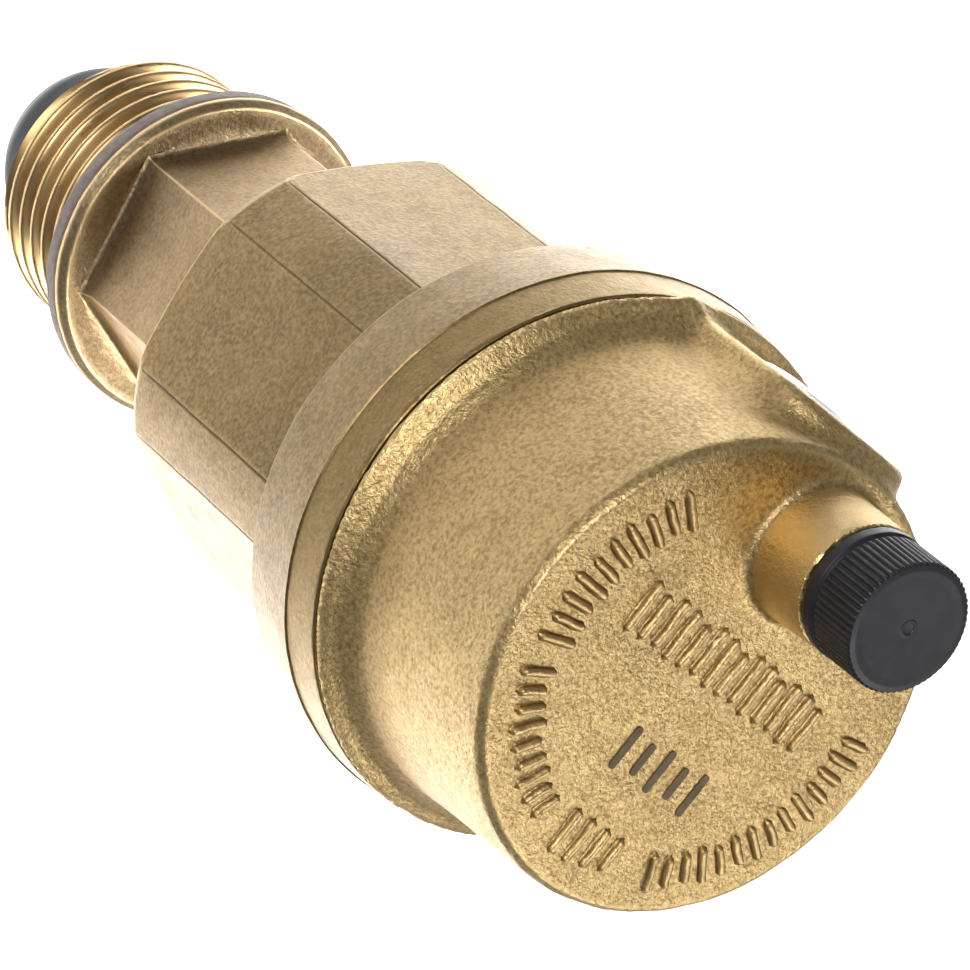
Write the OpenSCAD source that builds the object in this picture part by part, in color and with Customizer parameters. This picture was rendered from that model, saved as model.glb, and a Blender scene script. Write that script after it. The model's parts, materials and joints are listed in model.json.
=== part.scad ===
// Automatic air vent with a self-closing shut-off adapter.
// Millimetres. Origin: centre of the inlet's sealing face, on the vent's axis.
// +Z runs up through the vent to its cast top face, +X points to the vent cap and the side pad.

/* [Inlet] */
// radius of the inlet thread's crests, G1/2
thread_r = 10.478; // [10.4:0.001:10.5]
// length of the inlet thread below the sealing face
thread_len = 12.4; // [11.5:0.1:14]
// radius of the adapter's collar and its gasket
collar_r = 12.45; // [12:0.05:13.2]
// thickness of the flat gasket
gasket_t = 1.5; // [1:0.1:2]
// across flats of the adapter's hexagon
hex_af = 18.25; // [18:0.05:19]
// height of the hexagon's top above the sealing face
hex_top = 17; // [16.8:0.05:17.1]
// turn of the adapter's hexagon about the axis
hex_turn = 13.5; // [0:0.5:59.5]

/* [Body] */
// radius of the body's turned corners
skirt_r = 16.1; // [15.9:0.05:16.4]
// across flats of the body
skirt_af = 30; // [29.6:0.1:30.6]
// turn of the body's flats about the axis
skirt_turn = 9; // [0:0.5:59.5]
// height of the body's underside
skirt_z = 21; // [20:0.1:22]
// height of the flange's underside
flange_z = 44.5; // [43.5:0.1:45.5]
// largest radius of the flange, at its parting line
flange_r = 19.6; // [19.4:0.05:20.2]
// height of the joint between body and cover
joint_z = 54.2; // [54:0.05:54.4]
// inside radius of the float chamber
chamber_r = 13; // [12.6:0.1:13.2]

/* [Cover] */
// height of the cast top face
face_z = 70.7; // [70.4:0.05:71]
// radius of the cast top face
face_r = 16.1; // [15.8:0.05:16.4]
// distance of the side pad's flat from the axis
pad_x = 17.85; // [17.6:0.05:18.1]
// half width of the side pad
pad_w = 6.6; // [6.2:0.1:7.2]
// height of the cross bore and its plug
bore_z = 61; // [60.6:0.1:61.4]
// distance of the vent boss from the axis
boss_x = 10.3; // [10.1:0.05:10.5]
// height of the vent boss's machined top
boss_top = 76.2; // [76:0.05:76.4]

/* [Cap] */
// radius of the vent cap over its ribs
cap_r = 4.45; // [4.3:0.05:4.8]
// height of the vent cap
cap_h = 5.25; // [5.1:0.05:5.6]
// number of grooves round the cap
cap_ribs = 48; // [24:2:60]

/* [Float and valve] */
// radius of the float
float_r = 11.8; // [11.4:0.1:12]
// angle of the lever below its closed position when the float is down
lever_open = 28; // [24:0.5:29]

/* [Hidden] */
$fn = 96;
eps = 0.01;
tail_r = 6.5785;          // G1/4 thread of the vent's tail
socket_r = tail_r + 0.042;
seat_z = -10;             // shut-off seat in the adapter
head_r = 7.4;
head_z0 = -20.6;
head_z1 = -14;
web_z = -2.5;             // top of the web that guides the stem
clip_z = 5.5;
spig_r = 16.56;           // cover spigot
spig_in = 14.2;
roof_z = 67.6;            // underside of the cover's top
piv = [4.8, 57];          // lever pivot, x and z
arm = 5.8;
lid_z = 49.5;
link_y = 2.6;
cap_z = boss_top + 0.15;

brass = [0.78, 0.63, 0.38];
brass_dark = [0.60, 0.49, 0.33];
steel = [0.75, 0.76, 0.78];
black = [0.12, 0.12, 0.13];
grey = [0.52, 0.47, 0.43];

// upright tube between two heights
module tube(ro, ri, z0, z1) {
    translate([0, 0, z0]) difference() {
        cylinder(r = ro, h = z1 - z0);
        translate([0, 0, -1]) cylinder(r = ri, h = z1 - z0 + 2);
    }
}

// cylinder along X
module xcyl(r, x0, x1, z, y = 0) {
    translate([x0, y, z]) rotate([0, 90, 0]) cylinder(r = r, h = x1 - x0);
}

// cylinder along Y, centred on y = 0
module ycyl(r, w, x, z) {
    translate([x, w / 2, z]) rotate([90, 0, 0]) cylinder(r = r, h = w);
}

// hexagonal prism by its width across flats
module hexprism(af, z0, z1, turn) {
    translate([0, 0, z0]) rotate(turn) linear_extrude(z1 - z0) circle(r = af / 2 / cos(30), $fn = 6);
}

// holes on a circle
module holes(n, rad, r, z0, z1, turn = 0) {
    for (i = [0 : n - 1]) rotate(turn + i * 360 / n) translate([rad, 0, z0]) cylinder(r = r, h = z1 - z0);
}

module shutoff_body() {
    color(brass_dark) difference() {
        union() {
            rotate_extrude() polygon([[0, -thread_len], [thread_r - 0.85, -thread_len],
                [thread_r, -thread_len + 0.85], [thread_r, 0], [thread_r - 0.25, 0.15],
                [thread_r - 0.25, gasket_t], [collar_r - 0.2, gasket_t],
                [collar_r, gasket_t + 0.2], [collar_r, gasket_t + 0.55], [collar_r - 0.45, gasket_t + 1.1],
                [0, gasket_t + 1.1]]);
            intersection() {
                hexprism(hex_af, gasket_t + 1, hex_top, hex_turn);
                rotate_extrude() polygon([[0, 0], [12, 0], [12, hex_top - 1.6], [9.2, hex_top], [0, hex_top]]);
            }
        }
        translate([0, 0, -thread_len - 1]) cylinder(r = 7.8, h = seat_z + thread_len + 1);
        translate([0, 0, seat_z - 1]) cylinder(r = 5.8, h = web_z - 2 - seat_z + 1);
        translate([0, 0, web_z - 3]) cylinder(r = 2.3, h = 5);
        holes(5, 4.05, 1.15, web_z - 3, web_z + 1);
        translate([0, 0, web_z]) cylinder(r = 6, h = 10);
        translate([0, 0, 7]) cylinder(r = socket_r, h = 12);
        translate([0, 0, hex_top - 1.8]) cylinder(r = 8.05, h = 4);
    }
}

module collar_gasket() {
    color(grey) tube(collar_r, thread_r + 0.12, 0, gasket_t);
}

module shutoff_plunger() {
    color(black) rotate_extrude() polygon([[0, head_z0], [head_r - 3.4, head_z0], [head_r - 1.9, head_z0 + 0.4],
        [head_r - 0.75, head_z0 + 1.3], [head_r - 0.15, head_z0 + 2.5], [head_r, head_z0 + 3.6], [head_r, head_z1], [5.3, head_z1], [5.3, head_z1 + 0.9], [2.25, head_z1 + 0.9],
        [2.25, clip_z], [1.6, clip_z], [1.6, clip_z + 1.4], [0, clip_z + 1.4]]);
}

module plunger_seal() {
    color([0.2, 0.2, 0.2]) tube(7.1, 5.35, head_z1, head_z1 + 1.25);
}

// coil with flat ends: a half-ring section swept up and round
module plunger_spring() {
    turns = 4;
    r = 4.6;
    t = 0.8;
    span = 130;
    h = clip_z - web_z;
    color(steel) translate([0, 0, web_z]) linear_extrude(h, twist = -360 * turns, slices = 14 * turns)
        polygon(concat([for (a = [0 : 26 : span]) (r + t / 2 * sqrt(sin(180 * (a + 8) / (span + 16)))) * [cos(a), sin(a)]],
            [for (a = [span : -26 : 0]) (r - t / 2 * sqrt(sin(180 * (a + 8) / (span + 16)))) * [cos(a), sin(a)]]));
}

module plunger_retainer() {
    color(steel) difference() {
        tube(4.9, 1.62, clip_z, clip_z + 1.5);
        holes(5, 3.25, 0.95, clip_z - 1, clip_z + 3);
    }
}

module adapter_o_ring() {
    color(black) translate([0, 0, hex_top - 1.07]) rotate_extrude() translate([7.32, 0]) circle(r = 0.7);
}

module vent_body() {
    color(brass) difference() {
        union() {
            translate([0, 0, 7.2]) cylinder(r1 = tail_r - 0.7, r2 = tail_r, h = 0.7);
            translate([0, 0, 7.9]) cylinder(r = tail_r, h = 10);
            translate([0, 0, hex_top - 0.35]) cylinder(r = 7.9, h = 1.2);
            translate([0, 0, hex_top + 0.4]) cylinder(r = 8.6, h = skirt_z - hex_top);
            intersection() {
                hexprism(skirt_af, skirt_z - 1, flange_z + 1, skirt_turn);
                rotate_extrude() polygon([[0, skirt_z], [skirt_r - 1.15, skirt_z], [skirt_r - 0.3, skirt_z + 0.35],
                    [skirt_r, skirt_z + 1], [skirt_r, flange_z + 1], [0, flange_z + 1]]);
            }
            rotate_extrude() polygon([[0, flange_z], [flange_r - 1.1, flange_z], [flange_r - 0.85, flange_z + 0.25],
                [flange_r, flange_z + 6.4], [flange_r - 0.3, joint_z], [0, joint_z]]);
        }
        translate([0, 0, 6]) cylinder(r = 4, h = 20);
        translate([0, 0, 24]) cylinder(r = chamber_r, h = 40);
        translate([0, 0, 46.6]) cylinder(r = spig_r + 0.04, h = 10);
        translate([0, 0, joint_z - 1.6]) cylinder(r = 17.8, h = 3);
    }
}

module pad_solid(x0) {
    cr = 5.4;
    top = face_z - 1.3;
    translate([x0, 0, 0]) rotate([90, 0, 90]) linear_extrude(pad_x - x0) union() {
        translate([-pad_w, joint_z + 0.7]) square([2 * pad_w, top - cr - joint_z - 0.7]);
        translate([-pad_w + cr, joint_z + 2]) square([2 * (pad_w - cr), top - joint_z - 2]);
        for (s = [-1, 1]) translate([s * (pad_w - cr), top - cr]) circle(r = cr);
    }
}

module cover() {
    color(brass) difference() {
        union() {
            translate([0, 0, 47]) cylinder(r = spig_r, h = joint_z - 46.8);
            rotate_extrude() polygon([[0, joint_z + 0.1], [19.05, joint_z + 0.1], [19.3, joint_z + 0.3],
                [19.3, joint_z + 0.6], [18.95, joint_z + 0.95], [18.3, joint_z + 1.1], [17.85, joint_z + 1.3],
                [17.5, joint_z + 1.75], [17.35, joint_z + 2.5], [face_r + 0.4, face_z - 0.7],
                [face_r + 0.25, face_z - 0.25], [face_r - 0.15, face_z], [0, face_z]]);
            pad_solid(9);
            translate([boss_x, 0, 0]) rotate_extrude() polygon([[0, face_z - 2], [5.6, face_z - 2],
                [5.6, face_z], [5.05, face_z + 0.3], [4.75, face_z + 0.9], [4.5, boss_top - 0.2],
                [4.4, boss_top], [0, boss_top]]);
        }
        difference() {
            translate([0, 0, 46]) cylinder(r = spig_in, h = roof_z - 46);
            translate([7.5, -4.2, 56.8]) cube([8, 8.4, 12]);
        }
        translate([boss_x, 0, bore_z]) cylinder(r = 1.25, h = 20);
        translate([boss_x, 0, 71.5]) cylinder(r = 2.42, h = 8);
        xcyl(3.02, 6, 17, bore_z);
        xcyl(3.87, pad_x - 1.15, 20, bore_z);
        translate([11, 0, 54]) cylinder(r = 0.82, h = 3.1);
    }
}

module cover_o_ring() {
    color(black) translate([0, 0, joint_z - 0.75]) rotate_extrude() translate([17.2, 0]) circle(r = 0.58);
}

// shallow domed disc closing the cross bore
module side_plug() {
    color(steel) translate([pad_x - 1.15, 0, bore_z]) rotate([0, 90, 0]) rotate_extrude()
        polygon([[0, 0], [3.86, 0], [3.86, 1.2], [3.4, 1.42], [2.5, 1.58], [1.3, 1.66], [0, 1.68]]);
}

module baffle_disc() {
    color([0.85, 0.85, 0.82]) difference() {
        union() {
            translate([0, 0, 25]) cylinder(r = 12.8, h = 1);
            holes(3, 11, 0.9, 24, 26.9);
        }
        holes(6, 7.6, 2.2, 23, 28, 30);
        translate([0, 0, 23]) cylinder(r = 1.5, h = 5);
    }
}

module valve_seat() {
    color(brass_dark) difference() {
        union() {
            xcyl(2.99, 7, 13.4, bore_z);
            xcyl(1.3, 6.6, 8, bore_z);
        }
        xcyl(0.6, 6, 11, bore_z);
        translate([boss_x, 0, bore_z]) cylinder(r = 1.1, h = 5);
    }
}

module vent_nipple() {
    color(brass) difference() {
        union() {
            translate([boss_x, 0, 71.6]) cylinder(r = 2.4, h = boss_top + 0.1 - 71.6);
            translate([boss_x, 0, boss_top + 0.02]) cylinder(r = 2.9, h = 3.2);
        }
        translate([boss_x, 0, 71]) cylinder(r = 0.9, h = 10);
    }
}

module lever_bracket() {
    color(steel) difference() {
        union() {
            translate([6.9, -3, 56.15]) cube([6.6, 6, 0.6]);
            for (s = [-1, 1]) translate([3.3, s * 2.7 - 0.3, 56.15]) cube([4.12, 0.6, 2.45]);
        }
        translate([11, 0, 55]) cylinder(r = 0.82, h = 3);
        ycyl(0.77, 8, piv[0], piv[1]);
    }
}

module bracket_screw() {
    color(steel) union() {
        translate([11, 0, 55]) cylinder(r = 1.5, h = 1.1);
        translate([11, 0, 56]) cylinder(r = 0.79, h = 0.95);
    }
}

module lever_pin() {
    color(steel) ycyl(0.75, 7, piv[0], piv[1]);
}

// swings a shape drawn in the closed position down to where the float rests
module at_rest() {
    translate([piv[0], 0, piv[1]]) rotate([0, -lever_open, 0]) children();
}

module lever() {
    color(steel) at_rest() difference() {
        union() {
            ycyl(1.4, 4, 0, 0);
            translate([-0.35, -2, 0]) cube([0.7, 4, 6.1]);
            translate([-arm - 2.2, -1.6, -0.35]) cube([arm + 2.2, 3.2, 0.7]);
        }
        ycyl(0.8, 6, 0, 0);
    }
}

module valve_pad() {
    color(black) at_rest() xcyl(1.9, 0.36, 1.72, bore_z - piv[1]);
}

module float_shell() {
    color([0.9, 0.9, 0.86]) difference() {
        rotate_extrude() polygon([[0, 27], [float_r - 1.2, 27], [float_r - 0.3, 27.4], [float_r, 28.2],
            [float_r, lid_z], [0, lid_z]]);
        translate([0, 0, 27.8]) cylinder(r = float_r - 0.8, h = 30);
    }
}

module float_lid() {
    color([0.9, 0.9, 0.86]) difference() {
        union() {
            translate([0, 0, lid_z]) cylinder(r = float_r, h = 0.9);
            translate([0, 0, lid_z - 1]) cylinder(r = float_r - 0.82, h = 1.5);
        }
        translate([0, 0, lid_z - 2]) cylinder(r = float_r - 1.7, h = 2);
        for (s = [-1, 1]) translate([-0.65, s * link_y, lid_z - 1]) cylinder(r = 0.37, h = 3);
    }
}

module float_link() {
    bar = 55.5;
    color(steel) union() {
        for (s = [-1, 1]) translate([-0.65, s * link_y, lid_z + 0.1]) cylinder(r = 0.35, h = bar - lid_z - 0.1);
        for (s = [-1, 1]) translate([-0.65, s * link_y, bar]) sphere(r = 0.35, $fn = 32);
        ycyl(0.35, 2 * link_y, -0.65, bar);
    }
}

module vent_cap() {
    ribs_z = cap_z + 1.35;
    color(black) translate([boss_x, 0, 0]) difference() {
        union() {
            translate([0, 0, cap_z]) cylinder(r = cap_r + 0.05, h = 1.05);
            translate([0, 0, cap_z + 1]) cylinder(r = cap_r - 0.25, h = 0.5);
            translate([0, 0, ribs_z]) linear_extrude(cap_h - 1.75) difference() {
                circle(r = cap_r);
                for (i = [0 : cap_ribs - 1]) rotate(i * 360 / cap_ribs) translate([cap_r + 0.03, 0]) circle(r = 0.16, $fn = 16);
            }
            translate([0, 0, cap_z + cap_h - 0.4]) cylinder(r1 = cap_r - 0.2, r2 = cap_r - 0.5, h = 0.4);
        }
        translate([0, 0, cap_z - 1]) cylinder(r = 2.96, h = 4.85);
    }
}

module cap_seal() {
    color([0.3, 0.3, 0.3]) translate([boss_x, 0, boss_top + 3.24]) cylinder(r = 2.86, h = 0.7);
}

shutoff_body();
collar_gasket();
shutoff_plunger();
plunger_seal();
plunger_spring();
plunger_retainer();
adapter_o_ring();
vent_body();
cover();
cover_o_ring();
side_plug();
baffle_disc();
valve_seat();
vent_nipple();
lever_bracket();
bracket_screw();
lever_pin();
lever();
valve_pad();
float_shell();
float_lid();
float_link();
vent_cap();
cap_seal();
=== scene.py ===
"""Looks for the automatic air vent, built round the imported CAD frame.

Lengths in the shape code are millimetres in the frame's own axes: +Z up the vent, +X towards the cap and
the side pad. A turned profile is a list of corners (radius, height, fillet); a corner without a fillet stays
sharp. The points become metres in to_mesh().
"""
import json
import math
import bmesh
import bpy
import numpy as np
from mathutils import Matrix, Vector


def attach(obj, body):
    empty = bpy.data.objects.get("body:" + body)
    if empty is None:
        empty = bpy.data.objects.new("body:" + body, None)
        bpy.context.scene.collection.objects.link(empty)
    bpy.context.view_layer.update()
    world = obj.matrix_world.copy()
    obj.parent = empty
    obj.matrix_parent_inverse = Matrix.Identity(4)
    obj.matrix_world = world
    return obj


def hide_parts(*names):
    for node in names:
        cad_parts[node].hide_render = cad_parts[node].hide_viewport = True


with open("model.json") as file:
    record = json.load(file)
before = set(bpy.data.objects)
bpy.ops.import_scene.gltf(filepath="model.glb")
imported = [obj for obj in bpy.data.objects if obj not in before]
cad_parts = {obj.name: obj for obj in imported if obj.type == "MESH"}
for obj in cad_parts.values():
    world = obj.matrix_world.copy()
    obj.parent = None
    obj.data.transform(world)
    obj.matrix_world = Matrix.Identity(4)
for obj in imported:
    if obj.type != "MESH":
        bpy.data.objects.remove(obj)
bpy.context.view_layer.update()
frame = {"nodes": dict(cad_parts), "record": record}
nodes = frame["nodes"]
MM = 0.001

# ------------------------------------------------------------------ camera
CAMERA_TARGET = (0.32, -0.01, 41.55)
AZIMUTH, ELEVATION, ROLL = 87.58, 50.11, -130.25      # degrees
CAMERA_DISTANCE = 365.3
LENS, SENSOR = 204.1, 36


def make_camera():
    """a camera turned about its own line of sight, as the photograph's view of the lying vent needs"""
    az, el, roll = math.radians(AZIMUTH), math.radians(ELEVATION), math.radians(ROLL)
    out = Vector((math.cos(el) * math.cos(az), math.cos(el) * math.sin(az), math.sin(el)))
    level_right = (-out).cross(Vector((0, 0, 1))).normalized()
    level_up = level_right.cross(-out).normalized()
    up = level_up * math.cos(roll) + level_right * math.sin(roll)
    right = (-out).cross(up).normalized()
    matrix = Matrix((right, up, out)).transposed().to_4x4()
    matrix.translation = Vector(CAMERA_TARGET) * MM + out * CAMERA_DISTANCE * MM
    data = bpy.data.cameras.new("camera")
    data.lens, data.sensor_width = LENS, SENSOR
    data.clip_start, data.clip_end = 0.02, 20
    camera = bpy.data.objects.new("camera", data)
    camera.matrix_world = matrix
    bpy.context.collection.objects.link(camera)
    bpy.context.scene.camera = camera


# ------------------------------------------------------------------ blends and noise
def smin(a, b, k):
    """the smaller of a and b, with the change from one to the other rounded over k"""
    h = np.clip(0.5 + 0.5 * (b - a) / k, 0, 1)
    return b * (1 - h) + a * h - k * h * (1 - h)


def smax(a, b, k):
    return -smin(-a, -b, k)


HASH_STEPS = (73856093, 19349663, 83492791)
HASH_MIX = 1274126177


def hash_grid(i, j, k):
    """a fixed scattered number from -1 to 1 for each whole grid point"""
    n = (i * HASH_STEPS[0]) ^ (j * HASH_STEPS[1]) ^ (k * HASH_STEPS[2])
    n = (n ^ (n >> 13)) * HASH_MIX
    return ((n ^ (n >> 16)) & 0xFFFF) / 32767.5 - 1.0


def value_noise(points, size):
    """smooth noise with features of the given size, at points in mm"""
    q = points / size
    cell = np.floor(q).astype(np.int64)
    f = q - cell
    f = f * f * (3 - 2 * f)
    total = 0
    for corner in np.ndindex(2, 2, 2):
        weight = 1
        for axis, far in enumerate(corner):
            weight = weight * (f[..., axis] if far else 1 - f[..., axis])
        total = total + weight * hash_grid(*(cell[..., axis] + corner[axis] for axis in range(3)))
    return total


def from_polar(r, theta, z):
    return np.stack([r * np.cos(theta), r * np.sin(theta), z], -1)


# ------------------------------------------------------------------ profiles
ARC_STEP = 0.32              # radians between the points of a fillet
FILLET_SHARE = 0.49          # the most of a side that one fillet may take
CRISP_MARKS = [.09, .24]     # points this close to a corner keep its edge crisp
CRISP_SIDE = .5              # shorter sides don't need them


def rounded(corners, closed=False):
    """the profile's points, with each corner (r, z, fillet) turned into an arc"""
    out = []
    n = len(corners)
    for i, corner in enumerate(corners):
        p = np.array(corner[:2], float)
        fillet = corner[2] if len(corner) > 2 else 0
        at_end = not closed and i in (0, n - 1)
        if at_end or fillet <= 0:
            out.append(p)
            continue
        u = np.array(corners[i - 1][:2], float) - p
        v = np.array(corners[(i + 1) % n][:2], float) - p
        len_u, len_v = np.linalg.norm(u), np.linalg.norm(v)
        u, v = u / len_u, v / len_v
        half = math.acos(np.clip(u @ v, -1, 1)) / 2
        reach = min(fillet / math.tan(half), FILLET_SHARE * len_u, FILLET_SHARE * len_v)
        radius = reach * math.tan(half)
        centre = p + (u + v) / np.linalg.norm(u + v) * (radius / math.sin(half))
        start, end = p + u * reach - centre, p + v * reach - centre
        first = math.atan2(start[1], start[0])
        turn = (math.atan2(end[1], end[0]) - first + math.pi) % (2 * math.pi) - math.pi
        steps = max(2, int(math.ceil(abs(turn) / ARC_STEP)) + 1)
        for s in np.linspace(0, 1, steps + 1):
            angle = first + turn * s
            out.append(centre + radius * np.array([math.cos(angle), math.sin(angle)]))
    return np.array(out)


def densify(line, step, closed=False):
    """adds points along a profile's sides, close together next to its corners"""
    out = []
    n = len(line)
    for i in range(n if closed else n - 1):
        a, b = line[i], line[(i + 1) % n]
        length = np.linalg.norm(b - a)
        if length < 1e-6:
            continue
        crisp = CRISP_MARKS if length > CRISP_SIDE else []
        first = crisp[-1] if crisp else 0
        inner = length - 2 * first
        k = max(1, int(math.ceil(inner / step)))
        marks = [0] + crisp + [first + inner * s / k for s in range(1, k)]
        marks += [length - m for m in reversed(crisp)]
        out += [a + (b - a) * (m / length) for m in marks]
    if not closed:
        out.append(line[-1])
    return np.array(out)


def ring_angles(n, extra=()):
    """n even angles round the circle, with some more where the shape has an edge"""
    angles = list(np.linspace(0, 2 * math.pi, n, endpoint=False)) + [e % (2 * math.pi) for e in extra]
    angles = np.sort(np.array(angles))
    keep = np.concatenate([[True], np.diff(angles) > 1e-4])
    return angles[keep]


def six_times(first, offsets, radius):
    """angles at some offsets in mm along a circle from each of six edges, the first of them at `first`"""
    return [first + k * math.pi / 3 + off / radius for k in range(6) for off in offsets]


# ------------------------------------------------------------------ meshes
def to_mesh(name, points, faces):
    """a smooth-shaded object from points in mm and faces of any number of corners"""
    me = bpy.data.meshes.new(name)
    points = np.asarray(points, float)
    me.vertices.add(len(points))
    me.vertices.foreach_set("co", (points * MM).astype(np.float32).ravel())
    counts = np.array([len(f) for f in faces])
    corners = np.array([i for f in faces for i in f], np.int32)
    me.loops.add(len(corners))
    me.loops.foreach_set("vertex_index", corners)
    me.polygons.add(len(counts))
    me.polygons.foreach_set("loop_start", np.concatenate([[0], np.cumsum(counts)[:-1]]).astype(np.int32))
    me.update(calc_edges=True)
    me.validate()
    me.polygons.foreach_set("use_smooth", np.full(len(me.polygons), True))
    o = bpy.data.objects.new(name, me)
    bpy.context.collection.objects.link(o)
    return o


def points_of(me):
    """the mesh's points in mm"""
    co = np.empty(len(me.vertices) * 3, np.float32)
    me.vertices.foreach_get("co", co)
    return co.reshape(-1, 3).astype(float) / MM


def turn_outward(o):
    bm = bmesh.new()
    bm.from_mesh(o.data)
    bmesh.ops.recalc_face_normals(bm, faces=bm.faces[:])
    if bm.calc_volume(signed=True) < 0:
        bmesh.ops.reverse_faces(bm, faces=bm.faces[:])
    bm.to_mesh(o.data)
    bm.free()


def sharpen(o, angle):
    """edges that bend by more than this many degrees are shaded sharp"""
    o.data.set_sharp_from_angle(angle=math.radians(angle))


def solid(name, points, faces, crease):
    o = to_mesh(name, points, faces)
    turn_outward(o)
    sharpen(o, crease)
    return o


def lathe(name, line, thetas, shape=None, centre=(0, 0, 0), along_x=False, crease=35):
    """a closed profile turned about Z, or about X; shape(r, z, theta) -> r, z changes it with the angle"""
    line = np.asarray(line, float)
    on_axis = line[:, 0] < 1e-6
    size = (len(thetas), len(line))
    theta = np.broadcast_to(np.asarray(thetas)[:, None], size)
    r = np.broadcast_to(line[:, 0], size).copy()
    z = np.broadcast_to(line[:, 1], size).copy()
    if shape is not None:
        r, z = shape(r, z, theta)
    r[:, on_axis] = 0
    points = from_polar(r, theta, z).reshape(-1, 3)

    number = np.arange(len(points)).reshape(size)
    number[:, on_axis] = number[0, on_axis]      # a point on the axis is shared by all angles
    after = np.roll(number, -1, 0)
    quads = np.stack([number, after, np.roll(after, -1, 1), np.roll(number, -1, 1)], -1).reshape(-1, 4)
    starts_on_axis = quads[:, 0] == quads[:, 1]
    ends_on_axis = quads[:, 2] == quads[:, 3]
    full = quads[~starts_on_axis & ~ends_on_axis]
    first_tris = quads[starts_on_axis & ~ends_on_axis][:, 1:]
    last_tris = quads[ends_on_axis & ~starts_on_axis][:, :3]
    tris = np.concatenate([first_tris, last_tris])
    used = np.unique(np.concatenate([full.ravel(), tris.ravel()]))
    renumber = np.full(len(points), -1)
    renumber[used] = np.arange(len(used))
    points = points[used]
    if along_x:
        points = np.stack([points[:, 2], points[:, 1], -points[:, 0]], -1)
    return solid(name, points + np.array(centre), list(renumber[full]) + list(renumber[tris]), crease)


def join(name, objects, crease):
    """one object from several, which are removed"""
    points, faces, count = [], [], 0
    for o in objects:
        points.append(points_of(o.data))
        faces += [[v + count for v in p.vertices] for p in o.data.polygons]
        count += len(o.data.vertices)
        bpy.data.objects.remove(o)
    joined = to_mesh(name, np.concatenate(points), faces)
    sharpen(joined, crease)
    return joined


def apply_modifiers(o):
    graph = bpy.context.evaluated_depsgraph_get()
    me = bpy.data.meshes.new_from_object(o.evaluated_get(graph))
    o.modifiers.clear()
    old = o.data
    o.data = me
    me.name = old.name
    o.vertex_groups.clear()
    bpy.data.meshes.remove(old)


# ------------------------------------------------------------------ painted edge highlights and hollow shade
BEND_FROM, BEND_SPAN = .22, 1.1     # in 1/mm: where the painted highlight and shade start to show, and over how much they grow
SHORTEST, NEAR = .04, .45           # mm: the least edge length that counts, and the most that shares its bend


def bend_highlight_and_shade(o):
    """per-vertex 'edge' (convex, for a painted highlight) and 'hollow' (concave, for painted shade with
    grime), from how the surface bends
    """
    me = o.data
    n = len(me.vertices)
    points = points_of(me)
    normals = np.array([v.vector for v in me.vertex_normals], float)
    ends = np.empty(len(me.edges) * 2, np.int32)
    me.edges.foreach_get("vertices", ends)
    a, b = ends.reshape(-1, 2).T
    along = points[b] - points[a]
    length = np.maximum(np.linalg.norm(along, axis=1), SHORTEST)
    weight = 1 / length
    bend_a = (normals[a] * along).sum(1) / length ** 2
    bend_b = -(normals[b] * along).sum(1) / length ** 2
    total = np.bincount(a, bend_a * weight, n) + np.bincount(b, bend_b * weight, n)
    bend = total / np.maximum(np.bincount(a, weight, n) + np.bincount(b, weight, n), 1e-9)
    a, b = a[length < NEAR], b[length < NEAR]
    total = bend + np.bincount(a, bend[b], n) + np.bincount(b, bend[a], n)
    bend = total / (1 + np.bincount(a, None, n) + np.bincount(b, None, n))
    for key, amount in (("edge", -bend), ("hollow", bend)):
        values = np.clip((amount - BEND_FROM) / BEND_SPAN, 0, 1)
        me.attributes.new(key, "FLOAT", "POINT").data.foreach_set("value", values.astype(np.float32))


def change_edges(o, change):
    """change(points, edge) -> edge gives each vertex a new 'edge' value"""
    data = o.data.attributes["edge"].data
    edge = np.empty(len(data), np.float32)
    data.foreach_get("value", edge)
    data.foreach_set("value", change(points_of(o.data), edge).astype(np.float32))


# ------------------------------------------------------------------ vent body
SIXTH = math.pi / 3
SKIRT_R, SKIRT_AF, SKIRT_TURN = 16.1, 30.0, math.radians(9)
SKIRT_LOW, SKIRT_TOP = 21.0, 44.4
JOINT_Z = 54.2
SEAM_DEPTH, SEAM_WIDTH = 0.09, 0.085
SEAM_OFFSETS = (-.3, -.15, -.07, 0, .07, .15, .3)
SEAMS_LOW, SEAMS_TOP = 22.9, 43.9
# from this height the band under the joint is painted paler, as a painted highlight
PAINTED_LIGHT_BAND_LOW = 50.95

BODY_OUTSIDE = [
    # tail that screws in the adapter, with its step for the O-ring
    (4.0, 7.2), (5.95, 7.2, .1), (6.5785, 7.85, .2), (6.5785, 16.4, .1), (7.9, 16.65, .15), (7.9, 17.45, .1),
    (8.6, 17.55, .15), (8.6, SKIRT_LOW, .5),
    # foot and skirt
    (14.95, SKIRT_LOW, .5), (15.85, 21.4, .5), (SKIRT_R, 22.1, .6), (SKIRT_R, SKIRT_TOP, .45),
    # flange: a widening band, a fine lip, and the band under the joint
    (18.45, 44.45, .05), (18.66, 44.52, .08), (18.78, 44.72, .08), (19.52, 50.72, .05), (19.62, 50.8, .02),
    (19.64, 50.9, .02), (19.52, 51.0, .05), (19.3, 54.08, .06), (19.2, JOINT_Z, .05), (17.8, JOINT_Z)]
BODY_INSIDE = [(17.8, 52.6), (16.6, 52.6), (16.6, 46.6), (13.0, 46.6), (13.0, 24.0), (4.0, 24.0)]


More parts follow.
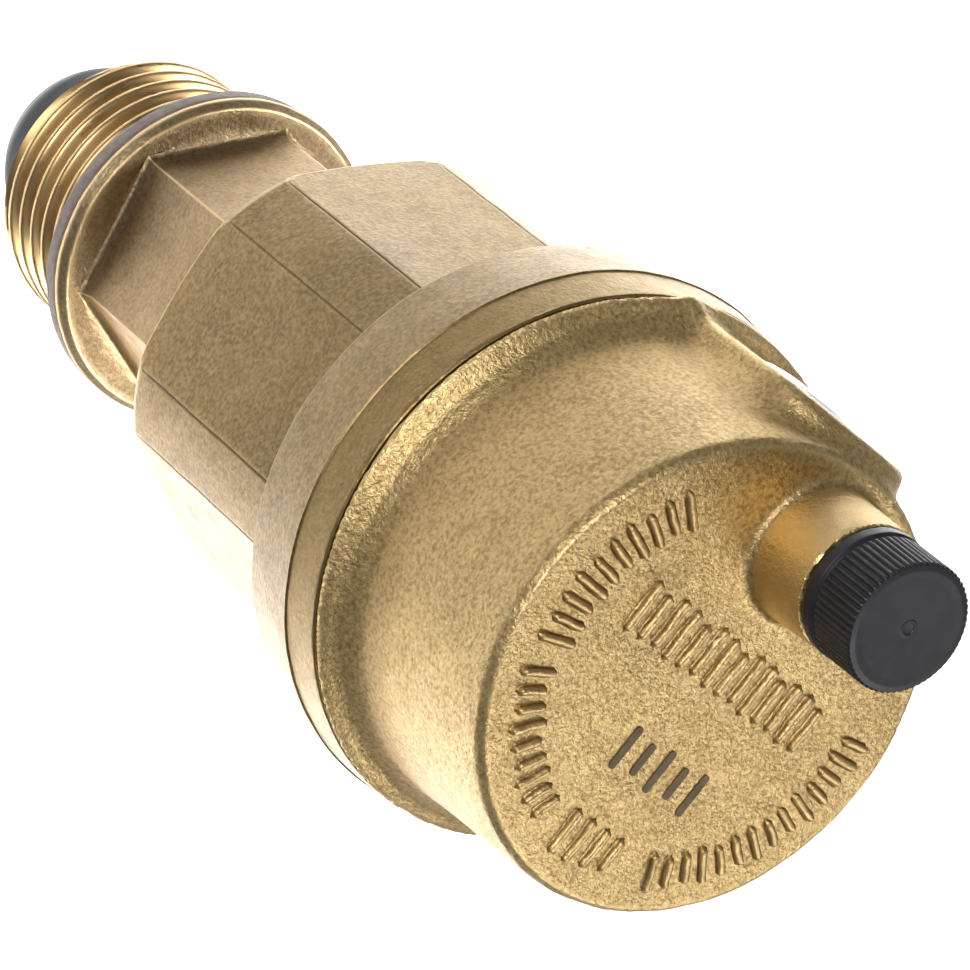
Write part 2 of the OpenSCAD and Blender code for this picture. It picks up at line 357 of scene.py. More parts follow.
def build_body():
    """turned casting whose skirt has six flats, with a seam where each flat meets a round corner"""
    line = np.concatenate([densify(rounded(BODY_OUTSIDE), 1.3), BODY_INSIDE])
    half_flat = math.acos(SKIRT_AF / 2 / SKIRT_R)
    seams = []
    for side in (-half_flat, half_flat):
        seams += six_times(SKIRT_TURN + SIXTH / 2 + side, SEAM_OFFSETS, SKIRT_R)

    def shape(r, z, theta):
        from_middle = (theta - SKIRT_TURN) % SIXTH - SIXTH / 2
        flat = smin(r, SKIRT_AF / 2 / np.cos(from_middle), .05)
        to_seam = np.abs(np.abs(from_middle) - half_flat) * SKIRT_R
        seam = SEAM_DEPTH * np.exp(-(to_seam / SEAM_WIDTH) ** 2) * np.clip((z - 22.2) / .6, 0, 1)
        on_skirt = (z > SKIRT_LOW - .001) & (z < SKIRT_TOP) & (r > 8.7)
        made = np.where(on_skirt, flat - seam, r)
        p = from_polar(made, theta, z)
        cast = np.clip(z - 21.5, 0, 1) * (r > 14) * (z < 54)
        return made + cast * (.035 * value_noise(p, 2.6) + .02 * value_noise(p, .9)), z

    return lathe("body_casting", line, ring_angles(330, seams), shape, crease=30)


def body_edge_highlights(p, edge):
    """no painted edge highlights at the seams, and a painted highlight on the band under the joint"""
    on_seams = (p[:, 2] > SEAMS_LOW) & (p[:, 2] < SEAMS_TOP)
    edge = np.where(on_seams, edge * .1, edge)
    return np.where(p[:, 2] > PAINTED_LIGHT_BAND_LOW, np.maximum(edge, .2), edge)


# ------------------------------------------------------------------ adapter
HEX_AF, HEX_TURN = 18.25, math.radians(13.5)
HEX_LOW, HEX_TOP = 2.65, 17.0
HEX_OFFSETS = (-.35, -.2, -.1, -.05, 0, .05, .1, .2, .35)
THREAD_R, CREST_R = 10.478, 10.44       # the thread's major radius, and its slightly worn crests
PITCH, THREAD_DEPTH = 1.814, 1.16
THREAD_END = -12.4
COLLAR_R = 12.42

THREAD_MOUTH = [(7.8, THREAD_END), (8.4, THREAD_END), (9.3, THREAD_END), (9.62, -12.36), (9.85, -12.18),
                (10.1, -11.95)]
COLLAR = [(CREST_R, -.2), (9.6, .05, .1), (9.6, 1.45, .1), (12.2, 1.5, .1), (COLLAR_R, 1.68, .15),
          (COLLAR_R, 2.05, .25), (11.9, 2.62, .3), (11.4, HEX_LOW, .1), (10.6, HEX_LOW)]
HEX_SIDE = [(10.56, 2.66), (10.56, 15.2, .2), (9.0, HEX_TOP, .15), (8.1, HEX_TOP)]
ADAPTER_BORE = [(8.05, 16.9), (8.05, 15.2), (6.62, 15.2), (6.62, 7.05), (6.0, 6.95), (6.0, -2.5), (5.8, -2.6),
                (5.8, -10.0), (7.8, -10.0), (7.8, -12.3)]
GUIDE_WEB = [(2.3, -4.5, .1), (5.82, -4.5), (5.82, -2.5), (2.3, -2.5, .1)]


def thread_depth(phase):
    """depth below the crest at the phase 0..1 of a rounded 55 degree thread"""
    x = np.abs((phase % 1.0) - .5) * 2          # 0 at the root, 1 at the crest
    x = np.clip((x - .10) / .80, 0, 1)
    s = x * x * (3 - 2 * x)
    return THREAD_DEPTH * (1 - (.8 * s + .2 * x))


def build_adapter():
    """helical inlet thread, round collar and cast hexagon, with the plunger's guide web across the bore"""
    crests = [(CREST_R, z) for z in np.arange(-11.6, -.25, .08)]
    collar, side = densify(rounded(COLLAR), 1.2), densify(rounded(HEX_SIDE), .8)
    line = np.concatenate([THREAD_MOUTH, crests, collar, side, ADAPTER_BORE])

    def shape(r, z, theta):
        on_thread = (z < -.15) & (r > 9.5)
        full = np.clip((-.25 - z) / 1.5, 0, 1)      # the thread runs out under the collar
        depth = thread_depth(z / PITCH - theta / (2 * math.pi)) * (.25 + .75 * full)
        chamfer = 9.62 + (z - THREAD_END) * .95
        threaded = np.minimum(np.minimum(r, THREAD_R - depth), chamfer)
        on_hex = (z > HEX_LOW + .005) & (z < HEX_TOP + .001) & (r > 8.2)
        from_middle = (theta - HEX_TURN) % SIXTH - SIXTH / 2
        flat = smin(r, HEX_AF / 2 / np.cos(from_middle), .10)
        foot = .55 * np.exp(-(z - HEX_LOW) / .28) * (z < 6)
        made = np.where(on_hex, flat + foot, np.where(on_thread, threaded, r))
        p = from_polar(made, theta, z)
        cast = (z > 1.6) & (r > 9)
        return made + cast * (.03 * value_noise(p, 2.2) + .018 * value_noise(p, .8)), z

    corners = six_times(HEX_TURN, HEX_OFFSETS, 10.5)
    casting = lathe("adapter_casting", line, ring_angles(320, corners), shape, crease=62)
    web = lathe("web", rounded(GUIDE_WEB, closed=True), ring_angles(96))
    return join("adapter_casting", [casting, web], crease=62)


def bright_thread(adapter, material):
    """the thread and the bore are bare turned brass"""
    adapter.data.materials.append(material)
    for poly in adapter.data.polygons:
        x, y, z = poly.center / MM
        if z < -.05 or math.hypot(x, y) < 8.9:
            poly.material_index = 1


# ------------------------------------------------------------------ small turned pieces
GASKET = [(10.6, .02, .1), (12.36, .02, .35), (12.42, .75), (12.36, 1.48, .35), (10.6, 1.48, .1)]
PLUNGER = [
    # head below the thread's end
    (0, -20.45), (1.6, -20.45, .15), (1.85, -20.6, .1), (4.3, -20.6, 1.2), (6.4, -19.7, 2.0),
    (7.4, -17.6, 2.2), (7.4, -14.0, .15), (5.3, -14.0, .05), (5.3, -13.1, .15),
    # stem
    (2.25, -13.1, .3), (2.25, 5.5, .05), (1.6, 5.5, .05), (1.6, 6.9, .3), (0, 6.9)]
# the side plug's heights are measured along +X from the bottom of its recess
PLUG = [(0, .02), (3.84, .02, .05), (3.84, 1.0, .1), (3.6, 1.22, .12), (3.38, 1.25, .08), (3.0, 1.42, .5),
        (1.6, 1.60, .8), (0, 1.66)]
PLUG_X, BORE_Z = 16.7, 61.0


def build_gasket():
    def shape(r, z, theta):
        return r + (r > 12) * .03 * value_noise(from_polar(r, theta, z), 1.5), z

    line = densify(rounded(GASKET, closed=True), .5, closed=True)
    return lathe("gasket_ring", line, ring_angles(240), shape)


def build_plunger():
    return lathe("plunger", densify(rounded(PLUNGER), .9), ring_angles(160))


def build_plug():
    line = densify(rounded(PLUG), .35)
    return lathe("plug_disc", line, ring_angles(160), centre=(PLUG_X, 0, BORE_Z), along_x=True, crease=40)


# ------------------------------------------------------------------ vent cap
CAP_X, CAP_LOW, CAP_TOP = 10.3, 76.35, 81.6
RIBS, RIB_DEPTH = 62, .15
CAP = [
    # hollow over the nipple
    (0, CAP_LOW + 3.85), (2.96, CAP_LOW + 3.85, .1), (2.96, CAP_LOW, .1),
    # plain foot ring
    (4.32, CAP_LOW, .12), (4.5, CAP_LOW + .2, .15), (4.5, CAP_LOW + .95, .12), (4.26, CAP_LOW + 1.08, .08),
    # ribbed side
    (4.24, CAP_LOW + 1.22, .08), (4.40, CAP_LOW + 1.32, .05), (4.45, CAP_LOW + 1.45, .1),
    (4.44, CAP_TOP - .2, .1),
    # slightly dished top with the moulding's gate mark
    (4.28, CAP_TOP - .03, .08), (3.9, CAP_TOP, .2), (3.4, CAP_TOP - .02, .3), (.62, CAP_TOP - .06, .05),
    (.55, CAP_TOP - .03, .05), (.42, CAP_TOP - .03, .05), (.36, CAP_TOP - .1, .05), (0, CAP_TOP - .1)]


def build_cap():
    def shape(r, z, theta):
        phase = (theta * RIBS / (2 * math.pi)) % 1.0
        rib = np.clip((np.abs(phase - .5) * 2 - .18) / .55, 0, 1)
        rib = rib * rib * (3 - 2 * rib)
        from_foot = np.clip((z - CAP_LOW - 1.28) / .12, 0, 1)
        to_top = np.clip((CAP_TOP - .015 - z) / .12, 0, 1)
        return r - RIB_DEPTH * (1 - rib) * from_foot * to_top * (r > 4.1), z

    rings = ring_angles(RIBS * (10))
    return lathe("cap_moulding", densify(rounded(CAP), .42), rings, shape, centre=(CAP_X, 0, 0), crease=40)


# ------------------------------------------------------------------ cover, as a distance field
FACE_Z = 70.7
RIM_LOW = 54.25
BOSS_X, BOSS_R, BOSS_TOP = 10.3, 4.62, 76.2
PAD_X, PAD_W, PAD_TOP, PAD_CORNER = 17.85, 6.7, 69.6, 5.9
SPIGOT_R, SPIGOT_LOW, SPIGOT_TOP = 16.56, 47.0, 55.0
CAVITY_R, CAVITY_TOP = 14.2, 67.6
VENT_HOLE_R, NIPPLE_R, NIPPLE_LOW = 1.25, 2.42, 71.5
BORE_R, PLUG_R = 3.02, 3.87
SEAT_X, SEAT_R = 11, .82
BLOCK_LEFT, BLOCK_RIGHT, BLOCK_W, BLOCK_LOW = 7.5, 16, 4.2, 56.8

DOME = rounded([(0, 50), (17.75, 50), (17.75, 56.05, .35), (17.28, 57.15, .8), (17.12, 59.5, 2),
                (16.5, 70.1, .2), (16.12, FACE_Z, .22), (0, FACE_Z)], closed=True)
RIM = rounded([(0, RIM_LOW), (18.85, RIM_LOW), (18.95, 54.42, .03), (19.27, 54.43, .04), (19.3, 54.68, .12),
               (18.85, 55.02, .4), (18.35, 55.2, .4), (17.5, 55.3), (0, 55.3)], closed=True)


def poly_sdf(r, z, poly):
    """signed distance to a closed polygon, negative inside"""
    nearest = np.full(r.shape, 1e9)
    inside = np.zeros(r.shape, bool)
    for a, b in zip(poly, np.roll(poly, -1, 0)):
        e = b - a
        dr, dz = r - a[0], z - a[1]
        t = np.clip((dr * e[0] + dz * e[1]) / (e @ e + 1e-12), 0, 1)
        nearest = np.minimum(nearest, (dr - e[0] * t) ** 2 + (dz - e[1] * t) ** 2)
        if e[1] != 0:
            spans = (a[1] > z) != (b[1] > z)
            inside ^= spans & (r < e[0] * (z - a[1]) / e[1] + a[0])
    return np.where(inside, -1, 1) * np.sqrt(nearest)


def pad_sdf(x, y, z):
    """side pad: an upright slab with two rounded top corners, standing proud of the dome"""
    side, over = np.abs(y) - (PAD_W - PAD_CORNER), z - (PAD_TOP - PAD_CORNER)
    outline = np.where(over > 0, np.hypot(np.maximum(side, 0), over) - PAD_CORNER, np.abs(y) - PAD_W)
    outline = np.maximum(outline, 50 - z)
    return np.maximum(smax(outline, x - 18.6, .3), 9 - x)


def cover_sdf(p):
    """distance to the cover's surface, negative inside the casting"""
    x, y, z = p[..., 0], p[..., 1], p[..., 2]
    r = np.hypot(x, y)                      # from the vent's axis
    rho = np.hypot(x - BOSS_X, y)           # from the boss's axis
    bore = np.hypot(y, z - BORE_Z)          # from the cross bore's axis
    seat = np.hypot(x - SEAT_X, y)          # from the valve's axis

    body = smin(poly_sdf(r, z, DOME), pad_sdf(x, y, z), 1.3)
    boss = np.maximum(rho - (BOSS_R - .03 * (z - 73)), 60 - z)
    body = smin(body, boss, .8)
    # the pad's flat face, with a rounder edge near its top
    body = smax(body, x - PAD_X, .6 + .7 * np.clip((z - 65.5) / 2.5, 0, 1))
    body = smax(body, z - BOSS_TOP, .14)
    # the rim sweeps into the dome, more so beside the pad
    sweep = 1.5 + .7 * np.exp(-((np.abs(y) - 7.6) / 1.3) ** 2) * (x > 10)
    body = smin(body, poly_sdf(r, z, RIM), sweep)
    body = np.maximum(body, RIM_LOW - z)
    spigot = np.maximum(np.maximum(r - SPIGOT_R, SPIGOT_LOW - z), z - SPIGOT_TOP)
    body = np.minimum(body, spigot)

    # hollow inside, except for the block that holds the valve
    block = np.maximum(BLOCK_LEFT - x, x - BLOCK_RIGHT)
    block = np.maximum(block, np.maximum(np.abs(y) - BLOCK_W, BLOCK_LOW - z))
    cavity = np.maximum(np.maximum(r - CAVITY_R, z - CAVITY_TOP), -block)
    body = np.maximum(body, -cavity)
    # the way out to the cap, and the cross bore with the plug's recess
    body = np.maximum(body, -np.maximum(rho - VENT_HOLE_R, BORE_Z - z))
    body = np.maximum(body, -np.maximum(rho - NIPPLE_R, NIPPLE_LOW - z))
    body = np.maximum(body, -np.maximum(np.maximum(bore - BORE_R, x - 17.2), 6 - x))
    body = smax(body, -np.maximum(bore - PLUG_R, PLUG_X - x), .1)
    return np.maximum(body, -np.maximum(seat - SEAT_R, z - 57.1))


def cell_points(value, cell):
    """the middle of the surface's crossings with each cell's edges, in cells"""
    total = np.zeros((len(cell), 3))
    count = np.zeros(len(cell))
    for corner in np.ndindex(2, 2, 2):
        for k in range(3):
            if corner[k]:
                continue
            end = list(corner)
            end[k] = 1
            here = value[tuple((cell + corner).T)]
            there = value[tuple((cell + end).T)]
            crossed = (here < 0) != (there < 0)
            point = np.tile(np.array(corner, float), (len(cell), 1))
            point[:, k] = np.where(crossed, here / np.where(crossed, here - there, 1), 0)
            total += point * crossed[:, None]
            count += crossed
    return cell + total / count[:, None]


def net_quads(solid_at, cells, number):
    """one quad round each grid edge that crosses the surface, between the points of its four cells"""
    quads = []
    for k in range(3):
        u, v = (k + 1) % 3, (k + 2) % 3
        near = [slice(1, n) for n in cells]
        near[k] = slice(0, cells[k])
        far = list(near)
        far[k] = slice(1, cells[k] + 1)
        at_near = solid_at[tuple(near)]
        crossing = np.argwhere(at_near != solid_at[tuple(far)])
        first = crossing + [s.start for s in near]
        quad = []
        for du, dv in ((-1, -1), (0, -1), (0, 0), (-1, 0)):
            cell = first.copy()
            cell[:, u] += du
            cell[:, v] += dv
            quad.append(number[tuple(cell.T)])
        quad = np.stack(quad, -1)
        leaves = at_near[tuple(crossing.T)]
        quad[~leaves] = quad[~leaves][:, ::-1]
        quads.append(quad)
    return np.concatenate(quads)


def surface_net(field, low, high, step):
    """points and quads on the surface where field(points) is zero, with one point in each cell it crosses"""
    axes = [np.arange(low[k], high[k] + step, step) for k in range(3)]
    value = np.empty(tuple(len(a) for a in axes), np.float32)
    for i in range(len(axes[0])):           # slice by slice, which saves memory
        grid = np.meshgrid(axes[0][i:i + 1], axes[1], axes[2], indexing="ij")
        value[i] = field(np.stack(grid, -1))[0]
    solid_at = value < 0
    cells = tuple(n - 1 for n in value.shape)
    solid_corners = np.zeros(cells, np.int8)
    for dx, dy, dz in np.ndindex(2, 2, 2):
        solid_corners += solid_at[dx:cells[0] + dx, dy:cells[1] + dy, dz:cells[2] + dz]
    crossed = (solid_corners > 0) & (solid_corners < 8)
    cell = np.argwhere(crossed)
    number = np.full(cells, -1, np.int64)
    number[crossed] = np.arange(len(cell))
    return cell_points(value, cell) * step + np.array(low), net_quads(solid_at, cells, number)


def slope_of(field, points, reach=.015):
    """the field's gradient, from the difference over a short reach each way"""
    steps = np.eye(3) * reach
    return np.stack([field(points + s) - field(points - s) for s in steps], -1) / (2 * reach)


def settle(field, points, rounds=4, longest=.3):
    """moves points onto the field's zero surface, and gives its slope at the last round"""
    for _ in range(rounds):
        distance = field(points)
        slope = slope_of(field, points)
        step = -(distance / np.maximum((slope ** 2).sum(-1), .25))[:, None] * slope
        length = np.linalg.norm(step, axis=1, keepdims=True)
        points = points + step * np.minimum(1, longest / np.maximum(length, 1e-9))
    return points, slope


def thin_out(o, chosen):
    """fewer faces round the chosen points, which nobody sees"""
    group = o.vertex_groups.new(name="inner")
    group.add([int(i) for i in chosen], 1.0, "REPLACE")
    fewer = o.modifiers.new("fewer", "DECIMATE")
    fewer.decimate_type = "COLLAPSE"
    fewer.vertex_group = "inner"
    fewer.ratio = .62
    apply_modifiers(o)


def build_cover():
    low = np.array([-20.1, -20.1, 46.3]) + .013      # so that no flat face lies right on the grid
    points, faces = surface_net(cover_sdf, low, (19.9, 19.9, 77.0), .27)
    points, slope = settle(cover_sdf, points)
    normal = slope / np.maximum(np.linalg.norm(slope, axis=1, keepdims=True), 1e-9)
    x, y, z = points.T
    r, rho = np.hypot(x, y), np.hypot(x - BOSS_X, y)
    outer = (z > 54.3) & ((r > 15.9) | (z > 69))
    # the pad's face, the boss's top and the hole in it are machined
    cast = outer * np.clip((PAD_X - .05 - x) / .1, 0, 1) * np.clip((76.0 - z) / .2, 0, 1)
    cast = cast * np.where((rho < 3.2) & (z > 70.9), 0, 1)
    rough = .045 * value_noise(points, 3.1) + .03 * value_noise(points, 1.3) + .012 * value_noise(points, .62)
    o = to_mesh("cover_casting", points + normal * (rough * cast)[:, None], faces)
    turn_outward(o)
    inner = ~outer & (r < 16.9)
    thin_out(o, np.nonzero(inner)[0])
    sharpen(o, 38)
    return o


def boss_highlight(p, edge):
    """the boss is painted paler, as a painted highlight"""
    on_boss = (p[:, 2] > FACE_Z + .5) & (np.hypot(p[:, 0] - BOSS_X, p[:, 1]) < 5.4)
    return np.where(on_boss, np.maximum(edge, .65), edge)


# ------------------------------------------------------------------ relief on the top face
STAMP_X, STAMP_RISE, STAMP_SINK = -6.4, .085, .1


def bar_profile(width, height, flare):
    """a bar's section, points (across, height): flared foot, drafted side, rounded top"""
    w = width / 2
    half = [(w - .17, height), (w - .06, height * .8), (w, height * .35),
            (w + flare * .25, .05), (w + flare * .8, 0), (w + flare, -.12)]
    return [(-u, v) for u, v in reversed(half)] + half


def bar_end(w, flare):
    """how a bar narrows and sinks past its end: (distance, share of the width, share of the height)"""
    return [(w + flare, .30, 0), (.92 * w + flare * .3, .45, .3), (.75 * w, .72, .85), (.45 * w, .92, 1)]


def bar(a, b, width=.62, height=.38, flare=.14, steps=None):
    """points and faces of a raised straight bar on the cast face, from a to b"""
    a, b = np.array(a, float), np.array(b, float)
    length = np.linalg.norm(b - a)
    steps = steps or max(3, int(length / .3) + 1)
    along = (b - a) / length
    across = np.array([-along[1], along[0]])
    end = bar_end(width / 2, flare)
    rings = [(a - along * past, wide, high) for past, wide, high in end]
    rings += [(a + (b - a) * s, 1, 1) for s in np.linspace(0, 1, steps)]
    rings += [(b + along * past, wide, high) for past, wide, high in reversed(end)]
    profile = bar_profile(width, height, flare)
    m = len(profile)
    points = []
    for middle, wide, high in rings:
        for u, v in profile:
            points.append((*(middle + across * u * wide), FACE_Z + (v * high if v > 0 else v)))
    faces = []
    for i in range(len(rings) - 1):
        for j in range(m):
            p, q = i * m + j, i * m + (j + 1) % m
            faces.append([p, q, q + m, p + m])
    faces.append(list(range(m))[::-1])
    faces.append([(len(rings) - 1) * m + j for j in range(m)])
    return np.array(points), faces


def gather(bars):
    """one list of points and one of faces from many"""
    faces, count = [], 0
    for points, own in bars:
        faces += [[i + count for i in face] for face in own]
        count += len(points)
    return np.concatenate([points for points, _ in bars]), faces


def arc_of_bars(first, last, r_in, r_out, pitch):
    """radial bars in three similar lengths along an arc, in degrees: a generic pattern that spells nothing"""
    n = int(round(abs(last - first) / pitch)) + 1
    bars = []
    for k, degrees in enumerate(np.linspace(first, last, n)):
        u = np.array([math.cos(math.radians(degrees)), math.sin(math.radians(degrees))])
        bars.append(bar(u * (r_in + (0, .3, .1)[k % 3]), u * (r_out - (0, .15, .3)[k % 3]), .56))
    return bars


def build_relief():
    """plain bars in the places of the real face's raised lettering"""
    bars = arc_of_bars(53, 106, 11.6, 13.9, 5.9)
    bars += arc_of_bars(116, 160, 12.2, 14.1, 5.7)
    bars += arc_of_bars(-153, -80, 12.3, 14.3, 5.6)
    for k in range(4):                                   # a short ladder of level bars
        y = 1.9 - 1.45 * k
        bars.append(bar((-14.2 + .1 * k * k, y), (-11.5, y), .55))
    for k, y in enumerate(np.linspace(8.4, -8.9, 14)):   # the middle row
        half, x = ((1.55, 1.3), (1.3, 1.15), (1.45, 1.45))[k % 3]
        bars.append(bar((x - half, y), (x + half, y), .6, .42))
    points, faces = gather(bars)
    # as cast: nothing quite straight, and uneven tops
    points[:, 0] += .07 * value_noise(points, .8)
    points[:, 1] += .07 * value_noise(points + 50, .8)
    points[:, 2] += .05 * value_noise(points + 90, .5) * (points[:, 2] > FACE_Z + .1)
    return solid("face_relief", points, faces, 60)


def build_stamp():
    """five short dashes burnt dark into the face"""
    bars = []
    for k in range(5):
        half, y = (1.35, .95)[k % 2], 2.2 - 1.75 * k
        points, faces = bar((STAMP_X - half, y), (STAMP_X + half, y), .52, .03, flare=.02, steps=5)
        points[:, 2] = np.where(points[:, 2] > FACE_Z, FACE_Z + STAMP_RISE, FACE_Z - STAMP_SINK)
        bars.append((points, faces))
    return solid("face_stamp", *gather(bars), 30)


# ------------------------------------------------------------------ materials
class Nodes:
    """a Principled material under construction; noise scales are in features per metre"""

    def __init__(self, name):
        self.mat = bpy.data.materials.new(name)
        self.mat.use_nodes = True
        self.tree = self.mat.node_tree
        self.tree.nodes.clear()
        out = self.tree.nodes.new("ShaderNodeOutputMaterial")
        self.shader = self.tree.nodes.new("ShaderNodeBsdfPrincipled")
        self.link(self.shader.outputs[0], out.inputs["Surface"])
        self.place = self.tree.nodes.new("ShaderNodeTexCoord").outputs["Object"]

    def link(self, a, b):
        self.tree.links.new(a, b)

    def feed(self, source, socket):
        self.link(source, self.shader.inputs[socket])

    def noise(self, scale, detail=2.0, rough=.5, stretch=None):
        n = self.tree.nodes.new("ShaderNodeTexNoise")
        n.inputs["Scale"].default_value = scale
        n.inputs["Detail"].default_value = detail
        n.inputs["Roughness"].default_value = rough
        source = self.place
        if stretch:
            mapping = self.tree.nodes.new("ShaderNodeMapping")
            mapping.inputs["Scale"].default_value = stretch
            self.link(source, mapping.inputs["Vector"])
            source = mapping.outputs["Vector"]
        self.link(source, n.inputs["Vector"])
        return n.outputs[0]

    def ramp(self, source, *stops):
        """grey levels at positions along the source"""
        r = self.tree.nodes.new("ShaderNodeValToRGB")
        for element, (position, grey) in zip(r.color_ramp.elements, stops):
            element.position = position
            element.color = (grey, grey, grey, 1)
        self.link(source, r.inputs[0])
        return r.outputs[0]

    def mix(self, factor, a, b):
        m = self.tree.nodes.new("ShaderNodeMix")
        m.data_type = "RGBA"
        for key, kind, value in (("Factor", "VALUE", factor), ("A", "RGBA", a), ("B", "RGBA", b)):
            socket = [s for s in m.inputs if s.name == key and s.type == kind][0]
            if hasattr(value, "is_output"):
                self.link(value, socket)
            else:
                socket.default_value = value
        return [s for s in m.outputs if s.type == "RGBA"][0]

    def bump(self, source, strength, height, before=None):
        b = self.tree.nodes.new("ShaderNodeBump")
        b.inputs["Strength"].default_value = strength
        b.inputs["Distance"].default_value = height * MM
        self.link(source, b.inputs["Height"])
        if before is not None:
            self.link(before, b.inputs["Normal"])
        return b.outputs[0]

    def vertex_value(self, key):
        a = self.tree.nodes.new("ShaderNodeAttribute")
        a.attribute_name = key
        return a.outputs["Fac"]


def rgb(*values):
    return [*values, 1.0]


def cast_brass(name, base, dark, light, rough, grain, mottle):
    """shot-blasted cast brass: fine grain, soft mottling, brown stains, painted highlights on edges and
    painted shade with grime in hollows
    """
    n = Nodes(name)
    fine = n.noise(3300, 2, .6)
    middle = n.noise(620, 3, .55)
    broad = n.noise(110, 2, .5)
    # a dark colour for the painted shade, with grime, in hollows
    grime_and_shade = rgb(dark[0] * .55, dark[1] * .5, dark[2] * .45)
    colour = n.mix(n.ramp(broad, (.42, 0), (.75, .55)), base, dark)
    colour = n.mix(n.ramp(middle, (.42, 0), (.72, mottle)), colour, dark)
    colour = n.mix(n.ramp(fine, (.40, 0), (.66, .42 * grain)), colour, light)
    colour = n.mix(n.ramp(fine, (.30, .45 * grain), (.46, 0)), colour, dark)
    # painted highlight: convex edges are mixed towards the light colour
    colour = n.mix(n.ramp(n.vertex_value("edge"), (0, 0), (.7, 1)), colour, light)
    # painted shade with grime: concave places are mixed towards the dark colour above
    colour = n.mix(n.ramp(n.vertex_value("hollow"), (0, 0), (1, .8)), colour, grime_and_shade)
    n.feed(colour, "Base Color")
    n.shader.inputs["Metallic"].default_value = 1.0
    n.feed(n.ramp(middle, (.3, rough[0]), (.75, rough[1])), "Roughness")
    pits = n.bump(n.noise(3000, 3, .7), .9 * grain, .09)
    n.feed(n.bump(n.noise(900, 2, .5), .42, .10, pits), "Normal")
    return n.mat


def turned(name, base, dark, rough):
    """metal with fine tool marks round Z"""
    n = Nodes(name)
    marks = n.noise(1.0, 2, .6, stretch=(260, 260, 2600))
    n.feed(n.mix(n.ramp(n.noise(300, 2, .5), (.35, 0), (.7, .5)), base, dark), "Base Color")
    n.shader.inputs["Metallic"].default_value = 1.0
    n.feed(n.ramp(marks, (.3, rough[0]), (.7, rough[1])), "Roughness")
    n.feed(n.bump(marks, .25, .02), "Normal")
    return n.mat


def plain(name, base, other, rough, scale, bump=.15, specular=.5):
    """plastic, rubber or fibre with a fine grain"""
    n = Nodes(name)
    n.feed(n.mix(n.ramp(n.noise(scale, 3, .55), (.35, 0), (.7, 1)), base, other), "Base Color")
    n.feed(n.ramp(n.noise(scale * .3), (.3, rough[0]), (.7, rough[1])), "Roughness")
    n.shader.inputs["Specular IOR Level"].default_value = specular
    n.feed(n.bump(n.noise(scale * 3, 3), bump, .02), "Normal")
    return n.mat


MATERIALS = {
    "brass_cast": cast_brass("cast_brass", rgb(.51, .355, .153), rgb(.30, .195, .08), rgb(.80, .60, .30),
                             rough=(.35, .45), grain=1.25, mottle=.07),
    "brass_relief": cast_brass("relief_brass", rgb(.38, .255, .105), rgb(.20, .12, .05), rgb(.60, .43, .20),
                               rough=(.34, .5), grain=1.0, mottle=.3),
    # darker than the cover's brass, in part as painted shade on the skirt's flats
    "brass_body": cast_brass("body_brass", rgb(.175, .117, .048), rgb(.105, .066, .028), rgb(.46, .328, .146),
                             rough=(.32, .42), grain=.62, mottle=.26),
    # darker than the cover's brass, in part as painted shade on the hexagon's flats
    "brass_adapter": cast_brass("adapter_brass", rgb(.275, .198, .112), rgb(.165, .115, .066),
                                rgb(.50, .37, .20), rough=(.36, .5), grain=.7, mottle=.3),
    "brass_thread": turned("thread_brass", rgb(.44, .30, .14), rgb(.29, .19, .085), (.24, .36)),
    "brass_turned": turned("turned_brass", rgb(.80, .60, .30), rgb(.62, .43, .2), (.22, .36)),
    "steel": turned("steel_bright", rgb(.62, .61, .60), rgb(.50, .49, .48), (.28, .42)),
    "black": plain("black_plastic", rgb(.016, .016, .020), rgb(.023, .023, .028), (.33, .45), 700,
                   specular=.36),
    "plunger": plain("plunger_plastic", rgb(.010, .012, .017), rgb(.015, .018, .024), (.38, .5), 700,
                     specular=.2),
    "white": plain("float_plastic", rgb(.78, .77, .70), rgb(.70, .68, .60), (.35, .5), 400),
    "rubber": plain("black_rubber", rgb(.018, .018, .018), rgb(.03, .03, .03), (.55, .7), 1200),
    "gasket": plain("fibre_gasket", rgb(.235, .19, .165), rgb(.165, .135, .12), (.6, .8), 1700, bump=.5),
    "stamp": plain("stamp_dark", rgb(.16, .105, .045), rgb(.10, .065, .03), (.5, .7), 1500)}

# the finish of each of the record's material slots, for the CAD nodes that stay in sight
FINISHES = {"brass_cast": "brass_cast", "brass_adapter": "brass_adapter", "brass_turned": "brass_turned",
            "steel": "steel", "plastic_black": "black", "plastic_white": "white", "rubber_black": "rubber",
            "gasket_grey": "gasket"}


def dress(o, material):
    o.data.materials.clear()
    o.data.materials.append(MATERIALS[material])


def dress_nodes():
    slot_of = {part["node"]: part["material_slot"] for part in frame["record"]["subparts"]}
    for name, o in nodes.items():
        dress(o, FINISHES[slot_of[name]])


# ------------------------------------------------------------------ pieces
def place(o, body, node, material):
    """dresses a piece, rides it on its CAD body and, where a node is named, puts it in that node's place"""
    dress(o, material)
    # brass pieces get the bend values behind their painted edge highlights and painted hollow shade
    if material.startswith("brass"):
        bend_highlight_and_shade(o)
    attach(o, body)
    if node:
        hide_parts(node)
    return o


dress_nodes()
body = place(build_body(), "vent", "vent_body", "brass_body")
# painted highlights on the body: none on the seams, and a paler band under the joint
change_edges(body, body_edge_highlights)
cover = place(build_cover(), "vent", "cover", "brass_cast")
# painted highlight: the boss is made paler
change_edges(cover, boss_highlight)
place(build_relief(), "vent", None, "brass_relief")
place(build_stamp(), "vent", None, "stamp")
adapter = place(build_adapter(), "adapter", "shutoff_body", "brass_adapter")
bright_thread(adapter, MATERIALS["brass_thread"])
place(build_gasket(), "adapter", "collar_gasket", "gasket")
place(build_plunger(), "plunger", "shutoff_plunger", "plunger")
place(build_plug(), "vent", "side_plug", "steel")
place(build_cap(), "cap", "vent_cap", "black")

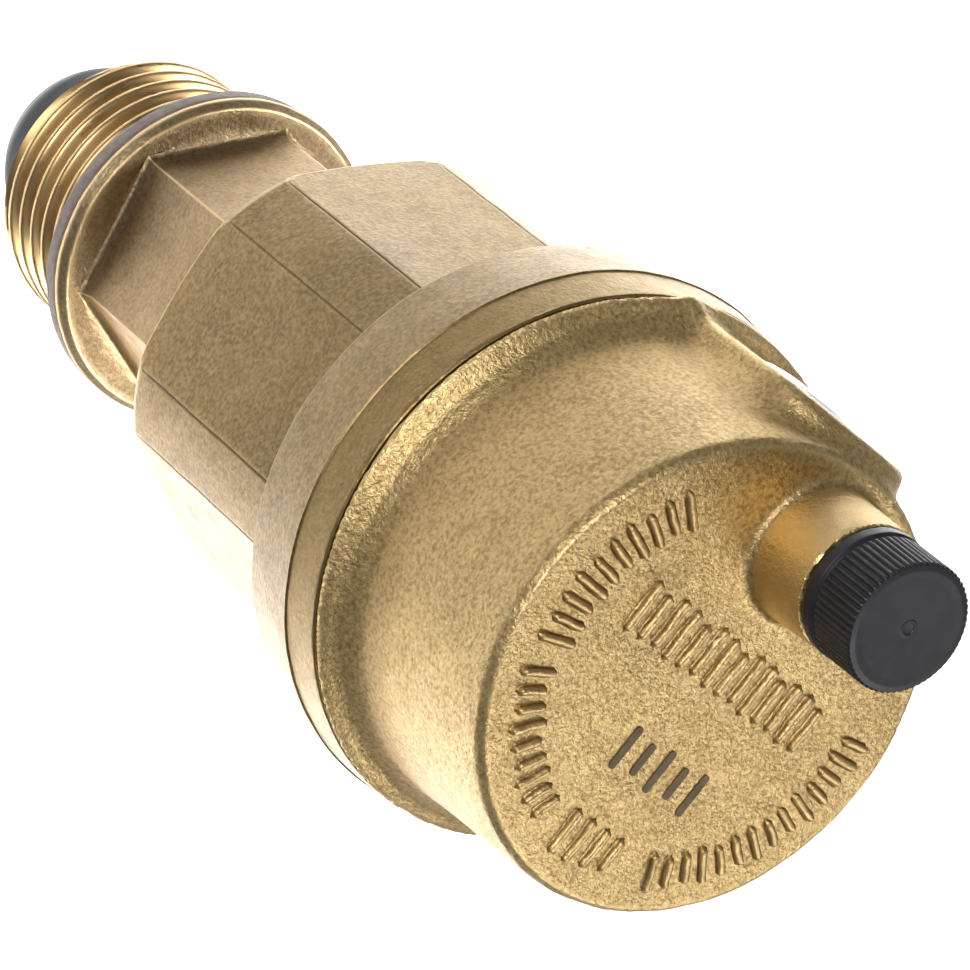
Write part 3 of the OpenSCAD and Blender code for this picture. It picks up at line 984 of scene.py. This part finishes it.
# ------------------------------------------------------------------ floor, light, camera
FLOOR_Z, FLOOR_HALF = -45.0, 900
WORLD_LIGHT = .22


def make_floor():
    corners = [(x * FLOOR_HALF, y * FLOOR_HALF, FLOOR_Z) for x, y in ((-1, -1), (1, -1), (1, 1), (-1, 1))]
    o = to_mesh("floor", corners, [[0, 1, 2, 3]])
    pale = bpy.data.materials.new("floor_pale")
    pale.use_nodes = True
    shader = pale.node_tree.nodes["Principled BSDF"]
    shader.inputs["Base Color"].default_value = (.88, .88, .88, 1)
    shader.inputs["Roughness"].default_value = .9
    shader.inputs["Specular IOR Level"].default_value = .1
    o.data.materials.append(pale)


def area(name, loc, size, radiance, spread=180, at=(0, 0, 40)):
    """a round lamp at loc that faces `at`; its radiance stays the same when its size or its spread changes"""
    lamp = bpy.data.lights.new(name, "AREA")
    lamp.shape = "DISK"
    lamp.size = size * MM
    lamp.energy = radiance * math.pi * (math.pi * (size * MM / 2) ** 2)
    if spread < 180:
        half = math.radians(spread / 2)
        lamp.spread = 2 * half
        lamp.energy *= (math.tan(half) - half) / math.tan(half)
    o = bpy.data.objects.new(name, lamp)
    o.matrix_world = (Vector(loc) - Vector(at)).to_track_quat("Z", "Y").to_matrix().to_4x4()
    o.location = Vector(loc) * MM
    bpy.context.collection.objects.link(o)


def make_world():
    world = bpy.data.worlds.new("studio")
    bpy.context.scene.world = world
    world.use_nodes = True
    background = world.node_tree.nodes["Background"]
    background.inputs[0].default_value = (1, 1, 1, 1)
    background.inputs[1].default_value = WORLD_LIGHT
    bpy.context.scene.view_settings.view_transform = "Standard"


make_camera()
make_floor()
# three narrow lamps are aimed at the floor round the vent, to keep it white; the wide ones light the vent
area("side_left", (-170, -90, 130), 120, 92, 56, at=(-80, -30, -45))
area("side_right", (170, -120, 130), 120, 98, 56, at=(80, -45, -45))
area("back", (0, -340, 170), 170, 19, 56, at=(0, -150, -45))
area("top", (-170, -330, 460), 330, 4.0)
area("front", (40, 330, 380), 190, 13)
make_world()
